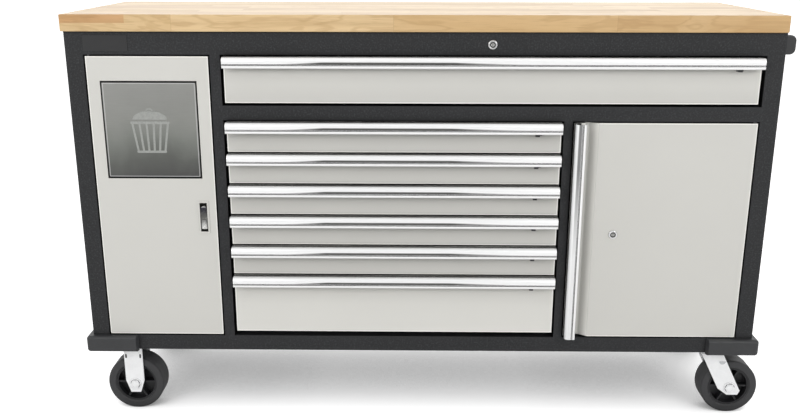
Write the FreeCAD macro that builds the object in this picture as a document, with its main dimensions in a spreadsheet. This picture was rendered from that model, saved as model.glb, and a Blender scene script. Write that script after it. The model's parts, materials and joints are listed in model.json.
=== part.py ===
"""Rolling tool cabinet with a hardwood worktop, built from its separate pieces.

Millimetres, +Z up. The model's origin is on the floor, under the middle of the whole
object. All positions below are given in the cabinet's own frame and moved there by
place(): x from the middle of the carcass, y from the plane of its front, running into
the depth, and z from the underside of the carcass, which stands on the casters.
"""
import FreeCAD
import Part
import Sketcher
import math
import os
import re

os.makedirs("parts", exist_ok=True)

DIMENSIONS = {
    # carcass of folded sheet steel
    "carcass_width": 1500,
    "carcass_depth": 450,
    "carcass_height": 719,
    "caster_height": 166,
    "skin": 1.5,
    "outer_post": 37,
    "frame_depth": 25,
    "base_rail": 35,
    "top_rail": 48,
    "mid_rail_low": 532.5,
    "mid_rail_high": 564,
    "bin_post_left": -448,
    "bin_post_right": -426,
    "door_post_left": 300,
    "door_post_right": 318.5,
    "shelf_level": 262,
    "shelf_front": 60,
    "shelf_lip": 20,
    # worktop
    "top_thickness": 35,
    "top_left_over": 4.5,
    "top_right_over": 0.5,
    "top_rear_over": 3,
    "top_nose": 7,
    "top_round": 2,
    # plastic corner bumpers
    "bumper_proud": 14,
    "bumper_leg": 116.5,
    "bumper_slope": 3,
    "bumper_drop": 3,
    "bumper_height": 38,
    "bumper_round": 8,
    "bumper_soft": 7,
    # push handle on the right end
    "push_reach": 40,
    "push_low": 668.5,
    "push_height": 41,
    "push_plate": 14,
    "push_inset": 48,
    "push_round": 12,
    "push_tube_radius": 9,
    "push_tube_out": 29,
    # drawers
    "stack_left": -419.5,
    "stack_right": 295,
    "wide_right": 704.5,
    "stack_top": 530,
    "drawer_pitch": 69.5,
    "front_height": 66,
    "deep_front_height": 135.5,
    "wide_top": 668,
    "wide_front_height": 98,
    "front_fold": 15,
    "tray_skin": 1.2,
    "tray_rear": 420,
    "tray_drop": 12,
    "tray_rise": 6,
    "wall_inset": 0.5,
    "slide_thickness": 12.7,
    "slide_height": 45,
    "slide_length": 400,
    "slide_front": 27,
    "slide_play": 1.5,
    "slide_rise": 8,
    "slide_rise_wide": 22,
    "slide_rise_deep": 30,
    # extruded pulls
    "pull_depth": 22,
    "pull_height": 23.2,
    "pull_wall": 2.2,
    "pull_foot": 14,
    "pull_return": 6,
    "pull_round": 8,
    "pull_tip_round": 3.5,
    "pull_groove": 15.5,
    "groove_half": 1.7,
    "groove_depth": 1.5,
    # thumb catches
    "catch_at": 243,
    "wide_catch_at": 655.5,
    "catch_half": 4.5,
    "catch_travel": 8,
    "catch_low": 28.5,
    "catch_high": 21,
    "catch_back": 4,
    "catch_front": 15,
    "stem_half": 3,
    "stem_height": 3.5,
    "stem_reach": 5,
    "stem_plate": 2,
    "stem_play": 0.5,
    "keeper_margin": 2,
    # doors
    "door_thickness": 20,
    "door_gap": 3.5,
    "hinge_inset": 6,
    "hinge_pin_radius": 3,
    "hinge_collar_radius": 5,
    "collar_play": 0.2,
    "pin_length": 12,
    "fit": 0.05,
    "recess_near": 23,
    "recess_far": 35,
    "recess_out": 53,
    "recess_depth": 12,
    "recess_slant": 0.3,
    # waste flap and latch in the bin door
    "flap_left": -681,
    "flap_right": -480,
    "flap_low": 406,
    "flap_high": 614,
    "flap_gap": 2,
    "flap_pivot": 587,
    "flap_pivot_depth": 6,
    "flap_fold": 12,
    "flap_pin_radius": 2.5,
    "latch_left": -492,
    "latch_right": -467.5,
    "latch_low": 279.5,
    "latch_high": 353.5,
    "latch_rim": 3,
    "latch_proud": 1.5,
    "latch_depth": 14,
    "lever_gap": 1,
    "lever_pivot_drop": 15.4,
    "lever_pivot_depth": 6,
    "lever_pin_radius": 1.5,
    "lever_thickness": 5,
    "lever_finger_gap": 6,
    "lever_barrel_radius": 6.4,
    "lever_barrel_proud": 2,
    "lever_knuckle_radius": 4,
    "lever_lip_inset": 2,
    "lever_lip_proud": 1,
    "lever_lip_height": 21,
    # locks
    "lock_flange_radius": 10,
    "lock_shank_radius": 8,
    "lock_flange": 2.5,
    "lock_shank": 22,
    "plug_radius": 6,
    "plug_reach": 27,
    "plug_recess": 0.5,
    "key_slot_half": 0.6,
    "key_slot_reach": 3.5,
    "cam_thickness": 2,
    "cam_half": 7,
    "door_lock_at": 419,
    "door_lock_level": 281,
    "door_cam_length": 107,
    "drawer_lock_at": 143.5,
    "drawer_lock_level": 693,
    "drawer_cam_length": 17,
    # waste bin
    "bin_middle": -581,
    "bin_half_low": 112,
    "bin_half_high": 123,
    "bin_front": 50,
    "bin_rear": 390,
    "bin_taper": 12,
    "bin_height": 340,
    "bin_wall": 2.5,
    "bin_rim": 4,
    "bin_rim_height": 10,
    # casters
    "wheel_radius": 65,
    "wheel_width": 52,
    "wheel_round": 4.5,
    "wheel_inset": 55,
    "rigid_at": -672,
    "swivel_at": 679.5,
    "trail": 42,
    "tyre_inner": 46.5,
    "tyre_chamfer": 3,
    "rim_inner": 43,
    "rim_half_width": 22,
    "web_half_width": 4,
    "boss_radius": 17,
    "boss_taper": 3,
    "rib_half": 2,
    "rib_inset": 3,
    "rib_sink": 1,
    "axle_radius": 6,
    "bolt_head_radius": 11,
    "bolt_head_height": 5,
    "fork_skin": 3,
    "fork_play": 2,
    "plate_thickness": 4,
    "plate_half_length": 52,
    "plate_half_width": 32,
    "bolt_out": 40,
    "bolt_side": 22,
    "bolt_radius": 4,
    "bolt_play": 0.5,
    "bolt_cap_radius": 6.5,
    "bolt_cap_height": 5,
    "leg_half": 21.5,
    "leg_tip_half": 11.5,
    "leg_knee": 92.5,
    "leg_end": 122.5,
    "fork_shoulder": 19,
    "fork_toe": 66.5,
    "fork_toe_level": 109,
    "fork_foot_half": 12.5,
    "fork_foot_shift": 7.3,
    "fork_end": 119,
    "fork_heel": 14.5,
    "fork_heel_level": 103,
    "race_radius": 30,
    "race_height": 10,
    "race_gap": 0.5,
    "king_pin_radius": 6,
    "channel_floor": 3,
    "channel_half": 66,
}

ORIGIN = {
    "x": "(bumper_proud-push_reach)/2",
    "y": "(pull_depth-carcass_depth-bumper_proud)/2",
    "z": "caster_height",
}
HALF = "carcass_width/2"
INNER_HALF = "(carcass_width/2-skin)"
INNER_REAR = "(carcass_depth-skin)"
BIN_BAY_LEFT = "(-carcass_width/2+outer_post)"
CUPBOARD_RIGHT = "(carcass_width/2-outer_post)"
TOP_RAIL_LOW = "(carcass_height-top_rail)"

doc = FreeCAD.newDocument("rolling_tool_cabinet")
sheet = doc.addObject("Spreadsheet::Sheet", "dims")
for row, (alias, value) in enumerate(DIMENSIONS.items(), start=1):
    sheet.set("A%d" % row, alias.replace("_", " "))
    sheet.set("B%d" % row, str(value))
    sheet.setAlias("B%d" % row, alias)
doc.recompute()

NAME = re.compile(r"[a-z][a-z_]+")
nodes = []


def formula(text):
    """Write a length as an expression that reads each named dimension in the sheet."""
    return NAME.sub(lambda found: "dims." + found.group(), str(text))


def bind(item, field, text):
    item.setExpression(field, formula(text))


def place(item, x, y, z):
    """Put an item at a point of the cabinet's own frame."""
    bind(item, "Placement.Base.x", "%s+(%s)" % (ORIGIN["x"], x))
    bind(item, "Placement.Base.y", "%s+(%s)" % (ORIGIN["y"], y))
    bind(item, "Placement.Base.z", "%s+(%s)" % (ORIGIN["z"], z))


def node(label, item):
    """Make an item one of the named pieces that are written out."""
    item.Label = label
    nodes.append(item)
    return item


def box(x_low, x_high, y_low, y_high, z_low, z_high):
    block = doc.addObject("Part::Box", "block")
    bind(block, "Length", "(%s)-(%s)" % (x_high, x_low))
    bind(block, "Width", "(%s)-(%s)" % (y_high, y_low))
    bind(block, "Height", "(%s)-(%s)" % (z_high, z_low))
    place(block, x_low, y_low, z_low)
    return block


TURNS = {
    "x": FreeCAD.Rotation(FreeCAD.Vector(0, 1, 0), 90),
    "y": FreeCAD.Rotation(FreeCAD.Vector(1, 0, 0), -90),
    "z": FreeCAD.Rotation(),
}


def rod(axis, x, y, z, radius, length):
    """A round bar that runs from a point along the axis."""
    bar = doc.addObject("Part::Cylinder", "bar")
    bar.Placement = FreeCAD.Placement(FreeCAD.Vector(), TURNS[axis])
    bind(bar, "Radius", radius)
    bind(bar, "Height", length)
    place(bar, x, y, z)
    return bar


def hexagon(axis, x, y, z, radius, length):
    """A bolt head or nut that runs from a point along the axis."""
    head = doc.addObject("Part::Prism", "hexagon")
    head.Polygon = 6
    head.Placement = FreeCAD.Placement(FreeCAD.Vector(), TURNS[axis])
    bind(head, "Circumradius", radius)
    bind(head, "Height", length)
    place(head, x, y, z)
    return head


def cut(base, *tools):
    for tool in tools:
        result = doc.addObject("Part::Cut", "cut")
        result.Base = base
        result.Tool = tool
        base = result
    return base


def join(*items):
    result = doc.addObject("Part::MultiFuse", "joined")
    result.Shapes = list(items)
    result.Refine = True
    return result


def group(items):
    """Separate solids that share one node."""
    result = doc.addObject("Part::Compound", "group")
    result.Links = list(items)
    return result


def outline(body, plane_role, corners):
    """A closed sketch through corners, each held by its two distances from the origin."""
    sketch = body.newObject("Sketcher::SketchObject", "outline")
    plane = [item for item in body.Origin.OriginFeatures if item.Role == plane_role][0]
    sketch.AttachmentSupport = [(plane, "")]
    sketch.MapMode = "FlatFace"
    count = len(corners)
    turn = 2 * math.pi / count
    start = [FreeCAD.Vector(10 * math.cos(k * turn), 10 * math.sin(k * turn), 0) for k in range(count)]
    for k in range(count):
        sketch.addGeometry(Part.LineSegment(start[k], start[(k + 1) % count]))
    for k in range(count):
        sketch.addConstraint(Sketcher.Constraint("Coincident", k, 2, (k + 1) % count, 1))
    for k, (across, up) in enumerate(corners):
        right = sketch.addConstraint(Sketcher.Constraint("DistanceX", -1, 1, k, 1, start[k].x))
        high = sketch.addConstraint(Sketcher.Constraint("DistanceY", -1, 1, k, 1, start[k].y))
        bind(sketch, "Constraints[%d]" % right, across)
        bind(sketch, "Constraints[%d]" % high, up)
    return sketch


def padded(plane_role, corners, length, x, y, z, reverse=False):
    """A body padded from an outline that lies in one of its origin planes."""
    body = doc.addObject("PartDesign::Body", "body")
    sketch = outline(body, plane_role, corners)
    pad = body.newObject("PartDesign::Pad", "pad")
    pad.Profile = sketch
    pad.Reversed = reverse
    bind(pad, "Length", length)
    place(body, x, y, z)
    return body


def turned(corners, x, y, z):
    """A body turned about an axis along y, from an outline of radius and depth."""
    body = doc.addObject("PartDesign::Body", "turned")
    sketch = outline(body, "XY_Plane", corners)
    revolution = body.newObject("PartDesign::Revolution", "revolution")
    revolution.Profile = sketch
    revolution.ReferenceAxis = (sketch, ["V_Axis"])
    revolution.Angle = 360
    place(body, x, y, z)
    return body


def round_edges(body, radius, wanted):
    """Round those edges of a body for which wanted(edge) holds."""
    doc.recompute()
    names = ["Edge%d" % (k + 1) for k, edge in enumerate(body.Tip.Shape.Edges) if wanted(edge)]
    base = body.Tip
    fillet = body.newObject("PartDesign::Fillet", "round")
    fillet.Base = (base, names)
    bind(fillet, "Radius", radius)
    return fillet


def size(alias):
    return float(DIMENSIONS[alias])


def runs_along(edge, axis):
    """Tell whether a straight edge is parallel to the axis, 0, 1 or 2."""
    span = edge.BoundBox
    lengths = (span.XLength, span.YLength, span.ZLength)
    return lengths[axis] > 0.01 and sum(lengths) - lengths[axis] < 0.01


def near(edge, axis, first, second):
    """Tell whether an edge along the axis passes the point given by its other two coordinates."""
    middle = edge.BoundBox.Center
    others = [value for index, value in enumerate((middle.x, middle.y, middle.z)) if index != axis]
    return runs_along(edge, axis) and abs(others[0] - first) < 0.1 and abs(others[1] - second) < 0.1


def pan(x_low, x_high, y_low, y_high, z_low, z_high, thickness):
    """A sheet face at y_low with folded edges, open at y_high."""
    return cut(
        box(x_low, x_high, y_low, y_high, z_low, z_high),
        box("%s+%s" % (x_low, thickness), "%s-%s" % (x_high, thickness),
            "%s+%s" % (y_low, thickness), "%s" % y_high,
            "%s+%s" % (z_low, thickness), "%s-%s" % (z_high, thickness)))


# Carcass


def make_panels():
    for label, side in (("side_panel_left", -1), ("side_panel_right", 1)):
        faces = ["%d*%s" % (side, HALF), "%d*%s" % (side, INNER_HALF)]
        if side > 0:
            faces.reverse()
        node(label, box(faces[0], faces[1], "0", "carcass_depth", "0", "carcass_height"))
    node("back_panel", box(
        "-%s" % INNER_HALF, INNER_HALF, INNER_REAR, "carcass_depth", "0", "carcass_height"))
    node("top_deck", box("-%s" % INNER_HALF, INNER_HALF, "frame_depth", INNER_REAR,
                         "carcass_height-skin", "carcass_height"))
    node("mid_deck", box("bin_post_right+wall_inset", INNER_HALF, "frame_depth", INNER_REAR,
                         "mid_rail_high-skin", "mid_rail_high"))
    bin_wall = box("bin_post_right+wall_inset-skin", "bin_post_right+wall_inset", "frame_depth", INNER_REAR,
                   "base_rail", "carcass_height-skin")
    cupboard_wall = box("door_post_left", "door_post_left+skin", "frame_depth", INNER_REAR,
                        "base_rail", "mid_rail_high-skin")
    node("bay_walls", group([bin_wall, cupboard_wall]))


def make_base_pan():
    """The floor of the carcass, and the two channels under it that carry the casters."""
    floor = box("-%s" % INNER_HALF, INNER_HALF, "frame_depth", INNER_REAR, "base_rail-skin", "base_rail")
    channels = []
    for middle in ("rigid_at", "swivel_at"):
        outer = box("%s-channel_half" % middle, "%s+channel_half" % middle, "frame_depth", INNER_REAR,
                    "0", "base_rail-skin")
        inner = box("%s-channel_half+channel_floor" % middle, "%s+channel_half-channel_floor" % middle,
                    "frame_depth", INNER_REAR, "channel_floor", "base_rail-skin")
        holes = [rod("z", "%s+(%s)" % (middle, x), y, "-1", "bolt_radius+bolt_play", "channel_floor+2")
                 for x, y in bolt_places()]
        channels.append(cut(outer, inner, *holes))
    node("base_pan", group([floor] + channels))


def make_front_frame():
    posts_and_rails = [
        pan("-%s" % INNER_HALF, BIN_BAY_LEFT, "0", "frame_depth", "0", "carcass_height", "skin"),
        pan(CUPBOARD_RIGHT, INNER_HALF, "0", "frame_depth", "0", "carcass_height", "skin"),
        pan(BIN_BAY_LEFT, CUPBOARD_RIGHT, "0", "frame_depth", "0", "base_rail", "skin"),
        pan("bin_post_right", CUPBOARD_RIGHT, "0", "frame_depth", "mid_rail_low", "mid_rail_high", "skin"),
        pan("bin_post_left", "bin_post_right", "0", "frame_depth", "base_rail", TOP_RAIL_LOW, "skin"),
        pan("door_post_left", "door_post_right", "0", "frame_depth", "base_rail", "mid_rail_low", "skin"),
    ]
    top = pan(BIN_BAY_LEFT, CUPBOARD_RIGHT, "0", "frame_depth", TOP_RAIL_LOW, "carcass_height", "skin")
    lock_hole = rod("y", "drawer_lock_at", "-1", "drawer_lock_level", "lock_shank_radius+fit", "skin+2")
    node("front_frame", group(posts_and_rails + [cut(top, lock_hole)]))


def make_worktop():
    left = "-%s-top_left_over" % HALF
    width = "carcass_width+top_left_over+top_right_over"
    depth = "carcass_depth+top_nose+top_rear_over"
    corners = [("0", "0"), (width, "0"), (width, depth), ("0", depth)]
    body = padded("XY_Plane", corners, "top_thickness", left, "-top_nose", "carcass_height")
    round_edges(body, "top_round", lambda edge: True)
    node("worktop", body)


def make_bumpers():
    """Angled plastic guards round the four lower corners."""
    reach = "(%s+bumper_proud)" % HALF
    far = "(carcass_depth/2+bumper_proud)"
    corners = [
        ("%s-bumper_leg+bumper_slope" % reach, far), (reach, far),
        (reach, "%s-bumper_leg+bumper_slope" % far), (HALF, "%s-bumper_leg" % far),
        (HALF, "carcass_depth/2"), ("%s-bumper_leg" % reach, "carcass_depth/2")]
    reach_size = size("carcass_width") / 2 + size("bumper_proud")
    far_size = size("carcass_depth") / 2 + size("bumper_proud")

    def on_outer_rim(edge):
        span = edge.BoundBox
        if span.ZLength > 0.01:
            return False
        across = span.YLength < 0.01 and abs(abs(span.YMin) - far_size) < 0.1
        along = span.XLength < 0.01 and abs(abs(span.XMin) - reach_size) < 0.1
        corner = abs(span.XLength - size("bumper_round")) + abs(span.YLength - size("bumper_round")) < 0.1
        return across or along or corner

    bumpers = []
    for side in (-1, 1):
        for end in (-1, 1):
            signed = [("%d*(%s)" % (side, x), "%d*(%s)" % (end, y)) for x, y in corners]
            body = padded("XY_Plane", signed, "bumper_height", "0", "carcass_depth/2", "-bumper_drop")
            round_edges(body, "bumper_round", lambda edge: near(edge, 2, side * reach_size, end * far_size))
            round_edges(body, "bumper_soft", on_outer_rim)
            bumpers.append(body)
    node("corner_bumpers", group(bumpers))


def make_push_handle():
    brackets = []
    high = "push_low+push_height/2"
    ends = ("push_inset", "carcass_depth-push_inset-push_plate")
    for inset in ends:
        corners = [("0", "0"), ("push_reach", "0"), ("push_reach", "push_height"), ("0", "push_height")]
        body = padded("XZ_Plane", corners, "push_plate", HALF, "(%s)+push_plate" % inset, "push_low")
        reach = size("push_reach")
        round_edges(body, "push_round",
                    lambda edge: near(edge, 1, reach, 0) or near(edge, 1, reach, size("push_height")))
        brackets.append(body)
    node("push_handle_brackets", group(brackets))
    start = "push_inset+push_plate"
    node("push_handle_bar", rod("y", "%s+push_tube_out" % HALF, start, high, "push_tube_radius",
                                "carcass_depth-2*(push_inset+push_plate)"))


def make_shelf():
    left = "door_post_left+skin"
    node("cupboard_shelf", cut(
        box(left, INNER_HALF, "shelf_front", INNER_REAR, "shelf_level-shelf_lip", "shelf_level"),
        box("%s+skin" % left, "%s-skin" % INNER_HALF, "shelf_front+skin", "%s-skin" % INNER_REAR,
            "shelf_level-shelf_lip", "shelf_level-skin")))


def wedge(half_low, half_high, y_low, y_high, taper, z_low, height):
    """A tapered block, narrower at its foot."""
    block = doc.addObject("Part::Wedge", "wedge")
    block.Placement = FreeCAD.Placement(FreeCAD.Vector(), FreeCAD.Rotation(FreeCAD.Vector(1, 0, 0), 90))
    bind(block, "Xmin", "-(%s)" % half_low)
    bind(block, "Xmax", half_low)
    bind(block, "X2min", "-(%s)" % half_high)
    bind(block, "X2max", half_high)
    bind(block, "Ymin", "0")
    bind(block, "Ymax", height)
    bind(block, "Zmin", "-((%s)-(%s))/2+(%s)" % (y_high, y_low, taper))
    bind(block, "Zmax", "((%s)-(%s))/2-(%s)" % (y_high, y_low, taper))
    bind(block, "Z2min", "-((%s)-(%s))/2" % (y_high, y_low))
    bind(block, "Z2max", "((%s)-(%s))/2" % (y_high, y_low))
    place(block, "bin_middle", "((%s)+(%s))/2" % (y_high, y_low), z_low)
    return block


def make_waste_bin():
    """A tapered bin of four walls, a floor and an outward rim."""
    floor_top = "base_rail+bin_wall"
    rim_low = "base_rail+bin_height-bin_rim_height"
    rise = "bin_height-bin_rim_height-bin_wall"
    front = "bin_front+bin_wall"
    rear = "bin_rear-bin_wall"
    outer = wedge("bin_half_low", "bin_half_high", "bin_front", "bin_rear", "bin_taper", floor_top, rise)
    across = wedge("bin_half_low+1", "bin_half_high+1", front, rear, "bin_taper", floor_top, rise)
    middle = wedge("bin_half_low", "bin_half_high", front, rear, "bin_taper", floor_top, rise)
    inner = wedge("bin_half_low-bin_wall", "bin_half_high-bin_wall", "bin_front", "bin_rear", "bin_taper",
                  floor_top, rise)
    floor = box("bin_middle-bin_half_low", "bin_middle+bin_half_low",
                "bin_front+bin_taper", "bin_rear-bin_taper", "base_rail", floor_top)
    left = "bin_middle-bin_half_high"
    right = "bin_middle+bin_half_high"
    rim = [
        box("%s-bin_rim" % left, "%s+bin_rim" % right, y_low, y_high, rim_low, "base_rail+bin_height")
        for y_low, y_high in (("bin_front-bin_rim", front), (rear, "bin_rear+bin_rim"))]
    rim += [
        box(x_low, x_high, front, rear, rim_low, "base_rail+bin_height")
        for x_low, x_high in (("%s-bin_rim" % left, "%s+bin_wall" % left),
                              ("%s-bin_wall" % right, "%s+bin_rim" % right))]
    node("waste_bin", group([cut(outer, across), cut(middle, inner), floor] + rim))


# Casters


def bolt_places():
    """Bolt holes of the front and the rear caster plate, from the plate's own x."""
    places = []
    for middle in ("wheel_inset", "(carcass_depth-wheel_inset)"):
        for x_sign in (-1, 1):
            for y_sign in (-1, 1):
                places.append(("%d*bolt_out" % x_sign, "%s+%d*bolt_side" % (middle, y_sign)))
    return places


def caster_plate(x, y):
    plate = box("%s-plate_half_length" % x, "%s+plate_half_length" % x,
                "%s-plate_half_width" % y, "%s+plate_half_width" % y, "-plate_thickness", "0")
    holes = []
    for x_sign in (-1, 1):
        for y_sign in (-1, 1):
            holes.append(rod("z", "%s+%d*bolt_out" % (x, x_sign), "%s+%d*bolt_side" % (y, y_sign),
                             "-plate_thickness-1", "bolt_radius+bolt_play", "plate_thickness+2"))
    return cut(plate, *holes)


def fork_legs(corners, x, y):
    """The two side plates of a fork, each side of the wheel."""
    legs = []
    for near_face in ("%s-wheel_width/2-fork_play" % y, "%s+wheel_width/2+fork_play+fork_skin" % y):
        legs.append(padded("XZ_Plane", corners, "fork_skin", x, near_face, "0"))
    return legs


def axle(x, y, z):
    """A bolt through both legs, with a head in front and a nut behind."""
    start = "%s-wheel_width/2-fork_play-fork_skin" % y
    length = "wheel_width+2*(fork_play+fork_skin)"
    shank = rod("y", x, "%s-bolt_head_height" % start, z, "axle_radius", "%s+2*bolt_head_height" % length)
    head = hexagon("y", x, "%s-bolt_head_height" % start, z, "bolt_head_radius", "bolt_head_height")
    nut = hexagon("y", x, "%s+%s" % (start, length), z, "bolt_head_radius", "bolt_head_height")
    return join(shank, head, nut)


AXLE_LEVEL = "(wheel_radius-caster_height)"
CASTER_ENDS = (("front", "wheel_inset"), ("rear", "(carcass_depth-wheel_inset)"))


def make_rigid_casters():
    corners = [
        ("-leg_half", "-plate_thickness"), ("leg_half", "-plate_thickness"), ("leg_half", "-leg_knee"),
        ("leg_tip_half", "-leg_end"), ("-leg_tip_half", "-leg_end"), ("-leg_half", "-leg_knee")]
    pieces = []
    for _, y in CASTER_ENDS:
        legs = fork_legs(corners, "rigid_at", y)
        bore = rod("y", "rigid_at", "%s-wheel_width" % y, AXLE_LEVEL, "axle_radius", "2*wheel_width")
        pieces.append(cut(join(caster_plate("rigid_at", y), *legs), bore))
        pieces.append(axle("rigid_at", y, AXLE_LEVEL))
    node("rigid_casters", group(pieces))


def make_swivel_casters():
    plates = []
    crown_top = "(-plate_thickness-race_height-race_gap)"
    crown_low = "(%s-fork_skin)" % crown_top
    for end, y in CASTER_ENDS:
        race = rod("z", "swivel_at", y, "-plate_thickness-race_height", "race_radius", "race_height")
        pin = rod("z", "swivel_at", y, "%s-1" % crown_low, "king_pin_radius",
                  "1+fork_skin+race_gap+race_height")
        cap = rod("z", "swivel_at", y, "%s-1-fork_skin" % crown_low, "bolt_head_radius", "fork_skin")
        plates.append(join(caster_plate("swivel_at", y), race, pin, cap))
        side = "(wheel_width/2+fork_play+fork_skin)"
        crown = cut(
            box("swivel_at-race_radius", "swivel_at+race_radius", "%s-%s" % (y, side), "%s+%s" % (y, side),
                crown_low, crown_top),
            rod("z", "swivel_at", y, "%s-1" % crown_low, "king_pin_radius+fit", "fork_skin+2"))
        corners = [
            ("-race_radius", crown_top), ("fork_shoulder", crown_top), ("fork_toe", "-fork_toe_level"),
            ("trail+fork_foot_shift+fork_foot_half", "-fork_end"),
            ("trail+fork_foot_shift-fork_foot_half", "-fork_end"), ("fork_heel", "-fork_heel_level")]
        legs = fork_legs(corners, "swivel_at", y)
        bore = rod("y", "swivel_at+trail", "%s-wheel_width" % y, AXLE_LEVEL, "axle_radius", "2*wheel_width")
        fork = cut(join(crown, *legs), bore)
        node("swivel_fork_%s" % end, group([fork, axle("swivel_at+trail", y, AXLE_LEVEL)]))
    node("swivel_plates", group(plates))


def spoke(x, y, degrees):
    """One rib right across the hub, turned from level about the axle's line."""
    rib = doc.addObject("Part::Box", "rib")
    reach = "(rim_inner+rib_sink)"
    bind(rib, "Length", "2*%s" % reach)
    bind(rib, "Width", "2*(rim_half_width-rib_inset)")
    bind(rib, "Height", "2*rib_half")
    rib.Placement = FreeCAD.Placement(FreeCAD.Vector(), FreeCAD.Rotation(FreeCAD.Vector(0, 1, 0), degrees))
    cosine = math.cos(math.radians(degrees))
    sine = math.sin(math.radians(degrees))
    place(rib, "%s-%s*(%.9f)-rib_half*(%.9f)" % (x, reach, cosine, sine), "%s-rim_half_width+rib_inset" % y,
          "%s+%s*(%.9f)-rib_half*(%.9f)" % (AXLE_LEVEL, reach, sine, cosine))
    return rib


def make_wheel(label, x, y):
    half = "wheel_width/2"
    tyre = turned([
        ("tyre_inner", "tyre_chamfer-%s" % half), ("tyre_inner+tyre_chamfer", "-%s" % half),
        ("wheel_radius", "-%s" % half), ("wheel_radius", half), ("tyre_inner+tyre_chamfer", half),
        ("tyre_inner", "%s-tyre_chamfer" % half)], x, y, AXLE_LEVEL)
    round_edges(tyre, "wheel_round",
                lambda edge: abs(edge.BoundBox.XLength - 2 * size("wheel_radius")) < 0.1
                and edge.BoundBox.YLength < 0.1)
    node("tyre_%s" % label, tyre)
    bore_radius = "axle_radius+fit"
    boss_tip = "boss_radius-boss_taper"
    hub = turned([
        (bore_radius, "-%s" % half), (boss_tip, "-%s" % half), ("boss_radius", "-web_half_width"),
        ("rim_inner", "-web_half_width"), ("rim_inner", "-rim_half_width"), ("tyre_inner", "-rim_half_width"),
        ("tyre_inner", "rim_half_width"), ("rim_inner", "rim_half_width"), ("rim_inner", "web_half_width"),
        ("boss_radius", "web_half_width"), (boss_tip, half), (bore_radius, half)], x, y, AXLE_LEVEL)
    ribs = [spoke(x, y, degrees) for degrees in (0, 60, 120)]
    bore = rod("y", x, "%s-%s" % (y, half), AXLE_LEVEL, bore_radius, "wheel_width")
    node("hub_%s" % label, cut(join(hub, *ribs), bore))


def make_caster_bolts():
    bolts = []
    for middle in ("rigid_at", "swivel_at"):
        for x, y in bolt_places():
            at = "%s+(%s)" % (middle, x)
            low = "(-plate_thickness-bolt_cap_height)"
            shank = rod("z", at, y, low, "bolt_radius", "plate_thickness+channel_floor+2*bolt_cap_height")
            head = hexagon("z", at, y, low, "bolt_cap_radius", "bolt_cap_height")
            nut = hexagon("z", at, y, "channel_floor", "bolt_cap_radius", "bolt_cap_height")
            bolts.append(join(shank, head, nut))
    node("caster_bolts", group(bolts))


# Pulls


def pull_corners():
    """The section of the extruded pull: distance from its leading edge, and from the face."""
    back = "(pull_depth-pull_wall)"
    return [
        ("0", "0"), ("0", "pull_depth"), ("pull_groove-groove_half", "pull_depth"),
        ("pull_groove-groove_half", "pull_depth-groove_depth"),
        ("pull_groove+groove_half", "pull_depth-groove_depth"), ("pull_groove+groove_half", "pull_depth"),
        ("pull_height", "pull_depth"), ("pull_height", "pull_depth-pull_return"),
        ("pull_height-pull_wall", "pull_depth-pull_return"), ("pull_height-pull_wall", back),
        ("pull_wall", back), ("pull_wall", "pull_wall"), ("pull_foot", "pull_wall"), ("pull_foot", "0")]


def round_pull(body, axis):
    """Round the pull's leading edge outside and inside, and its tip."""
    depth = size("pull_depth")
    wall = size("pull_wall")
    height = size("pull_height")

    def at(edge, along, out):
        return near(edge, axis, -out, -along) if axis == 0 else near(edge, axis, along, -out)

    round_edges(body, "pull_round", lambda edge: at(edge, 0, depth))
    round_edges(body, "pull_round-pull_wall", lambda edge: at(edge, wall, depth - wall))
    round_edges(body, "pull_tip_round", lambda edge: at(edge, height, depth))


def make_drawer_pull(label, x_low, x_high, top):
    corners = [("-(%s)" % out, "-(%s)" % along) for along, out in pull_corners()]
    body = padded("YZ_Plane", corners, "(%s)-(%s)" % (x_high, x_low), x_low, "0", top)
    round_pull(body, 0)
    node(label, body)


def make_door_pull(label, x, z_low, z_high):
    corners = [(along, "-(%s)" % out) for along, out in pull_corners()]
    body = padded("XY_Plane", corners, "(%s)-(%s)" % (z_high, z_low), x, "0", z_low)
    round_pull(body, 2)
    node(label, body)


# Drawers


WALL_FACE = "(bin_post_right+wall_inset)"
STACK_WALL = "door_post_left"
TRAY_LEFT = "(%s+slide_thickness)" % WALL_FACE


def off_wall(wall, side, low, high):
    """The span of x from low to high off a bay wall; side is -1 for the wall on the left."""
    if side < 0:
        return "%s+(%s)" % (wall, low), "%s+(%s)" % (wall, high)
    return "%s-(%s)" % (wall, high), "%s-(%s)" % (wall, low)


def channel(body_span, hollow_span, z_low, z_high):
    """A slide's channel of sheet, open along the side where the hollow leaves it."""
    rear = "slide_front+slide_length"
    return cut(
        box(body_span[0], body_span[1], "slide_front", rear, z_low, z_high),
        box(hollow_span[0], hollow_span[1], "slide_front", rear,
            "%s+tray_skin" % z_low, "%s-tray_skin" % z_high))


def fixed_slide(wall, side, z):
    """The outer member, a channel on the bay wall that opens towards the drawer."""
    return channel(
        off_wall(wall, side, "0", "slide_thickness-slide_play"),
        off_wall(wall, side, "tray_skin", "slide_thickness"), z, "%s+slide_height" % z)


def drawer_slide(wall, side, z):
    """The inner member, fixed to the side of the tray, inside the outer member."""
    margin = "(2*slide_play+tray_skin)"
    return channel(
        off_wall(wall, side, margin, "slide_thickness"),
        off_wall(wall, side, margin, "slide_thickness-tray_skin"),
        "%s+%s" % (z, margin), "%s+slide_height-%s" % (z, margin))


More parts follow.
